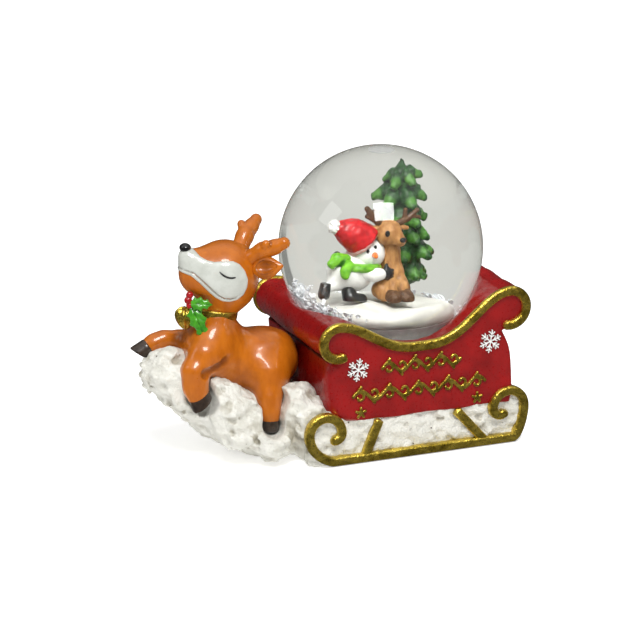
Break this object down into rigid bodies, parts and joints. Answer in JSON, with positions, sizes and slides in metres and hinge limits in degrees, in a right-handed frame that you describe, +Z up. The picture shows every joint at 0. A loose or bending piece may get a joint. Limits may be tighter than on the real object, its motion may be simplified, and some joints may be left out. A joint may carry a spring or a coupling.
{
  "type": "snow globe",
  "caption": "Small water globe on a red sleigh with gold trim, drawn by a reindeer resting on snow; a fir tree, a fawn and a snowman stand inside.",
  "frame": {"origin": "On the globe's axis, in the plane that the runners and the snow base stand on (the table)", "axes": "+Z up, along the globe's axis; +X towards the back of the sleigh, so the reindeer looks along -X; +Y to the right-hand side of the sleigh seen from behind it"},
  "size_m": [0.0849, 0.045, 0.0647],
  "materials": {
    "snow_resin": "cast resin painted as snow, rough with pinholes, satin varnish",
    "felt": "thin felt",
    "red_paint": "deep red paint under gloss varnish on cast resin",
    "gold_paint": "brushed-on antique gold metallic paint",
    "white_paint": "white paint on raised resin",
    "fur_paint": "orange-brown paint with darker brush strokes, gloss varnish",
    "face_paint": "warm off-white paint, gloss varnish",
    "black_paint": "black gloss paint",
    "hoof_paint": "dark brown gloss paint",
    "bell_gold": "gold paint, ribbed",
    "leaf_paint": "green gloss paint",
    "berry_paint": "red gloss paint",
    "clear_glass": "clear polished glass",
    "clear_liquid": "clear water-like filling",
    "stopper_rubber": "grey moulded rubber",
    "glue": "set resin adhesive",
    "mound_white": "white painted resin",
    "flake": "thin white plastic flakes",
    "bark_paint": "brown paint",
    "fir_paint": "dark green paint with lighter tips",
    "hat_paint": "red paint",
    "brim_paint": "off-white paint",
    "scarf_paint": "light green paint",
    "carrot_paint": "orange paint",
    "fawn_paint": "tan paint"
  },
  "bodies": {
    "root": {"snow_base": "snow_resin", "snow_drift": "snow_resin", "base_pad": "felt", "sleigh_tub": "red_paint", "trim_left": "gold_paint", "runner_left": "gold_paint", "strut_front_left": "gold_paint", "strut_rear_left": "gold_paint", "ornament_left": "gold_paint", "snowflakes_left": "white_paint", "antler_left": "fur_paint", "ear_left": "fur_paint", "foreleg_left": "fur_paint", "hind_leg_left": "fur_paint", "trim_right": "gold_paint", "runner_right": "gold_paint", "strut_front_right": "gold_paint", "strut_rear_right": "gold_paint", "ornament_right": "gold_paint", "snowflakes_right": "white_paint", "antler_right": "fur_paint", "ear_right": "fur_paint", "foreleg_right": "fur_paint", "hind_leg_right": "fur_paint", "deer_body": "fur_paint", "deer_head": "fur_paint", "deer_face": "face_paint", "deer_nose": "black_paint", "deer_lashes": "black_paint", "deer_hooves": "hoof_paint", "collar": "gold_paint", "collar_bell": "bell_gold", "holly_leaves": "leaf_paint", "holly_berries": "berry_paint", "glass_globe": "clear_glass", "liquid": "clear_liquid", "stopper": "stopper_rubber", "seat_glue": "glue", "snow_mound": "mound_white", "loose_flakes": "flake", "tree_trunk": "bark_paint", "fir_tree": "fir_paint", "snowman_body": "white_paint", "snowman_head": "white_paint", "hat_pompom": "white_paint", "snowman_arm": "white_paint", "snowman_eyes": "black_paint", "mittens": "black_paint", "boots": "black_paint", "fawn_eyes": "black_paint", "fawn_muzzle_tip": "black_paint", "snowman_nose": "carrot_paint", "snowman_hat": "hat_paint", "hat_brim": "brim_paint", "scarf": "scarf_paint", "fawn_body": "fawn_paint", "fawn_head": "fawn_paint", "fawn_ears": "fawn_paint", "fawn_antlers": "bark_paint", "fawn_hooves": "bark_paint"}
  },
  "joints": []
}
